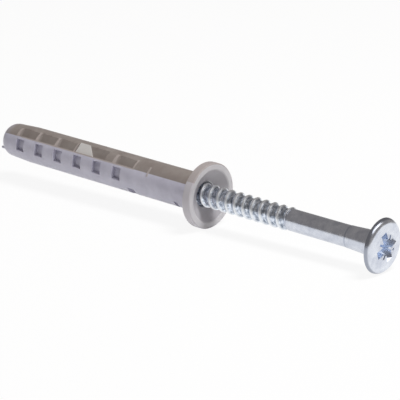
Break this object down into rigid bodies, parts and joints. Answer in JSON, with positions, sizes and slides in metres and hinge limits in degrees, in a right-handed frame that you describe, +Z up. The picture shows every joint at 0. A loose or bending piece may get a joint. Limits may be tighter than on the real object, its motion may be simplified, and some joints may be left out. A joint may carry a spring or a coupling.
{
  "type": "hammer fixing",
  "caption": "Plug sleeve with a dished round collar and a barbed nail screw standing part way out, to be hammered home.",
  "frame": {"origin": "on the table, under the middle of the part as it lies", "axes": "+X along the part towards the nail's head, +Z up, +Y away from the viewer"},
  "size_m": [0.1054, 0.014, 0.014],
  "materials": {
    "nylon": "satin moulded",
    "zinc_steel": "bright zinc plated"
  },
  "bodies": {
    "sleeve_body": {"sleeve": "nylon"},
    "nail_body": {"nail_screw": "zinc_steel"}
  },
  "joints": [
    {"name": "nail_drive", "type": "slide", "parent": "sleeve_body", "child": "nail_body", "axis": [-0.9995, 0, 0.0321], "range_m": [0, 0.04332]}
  ]
}
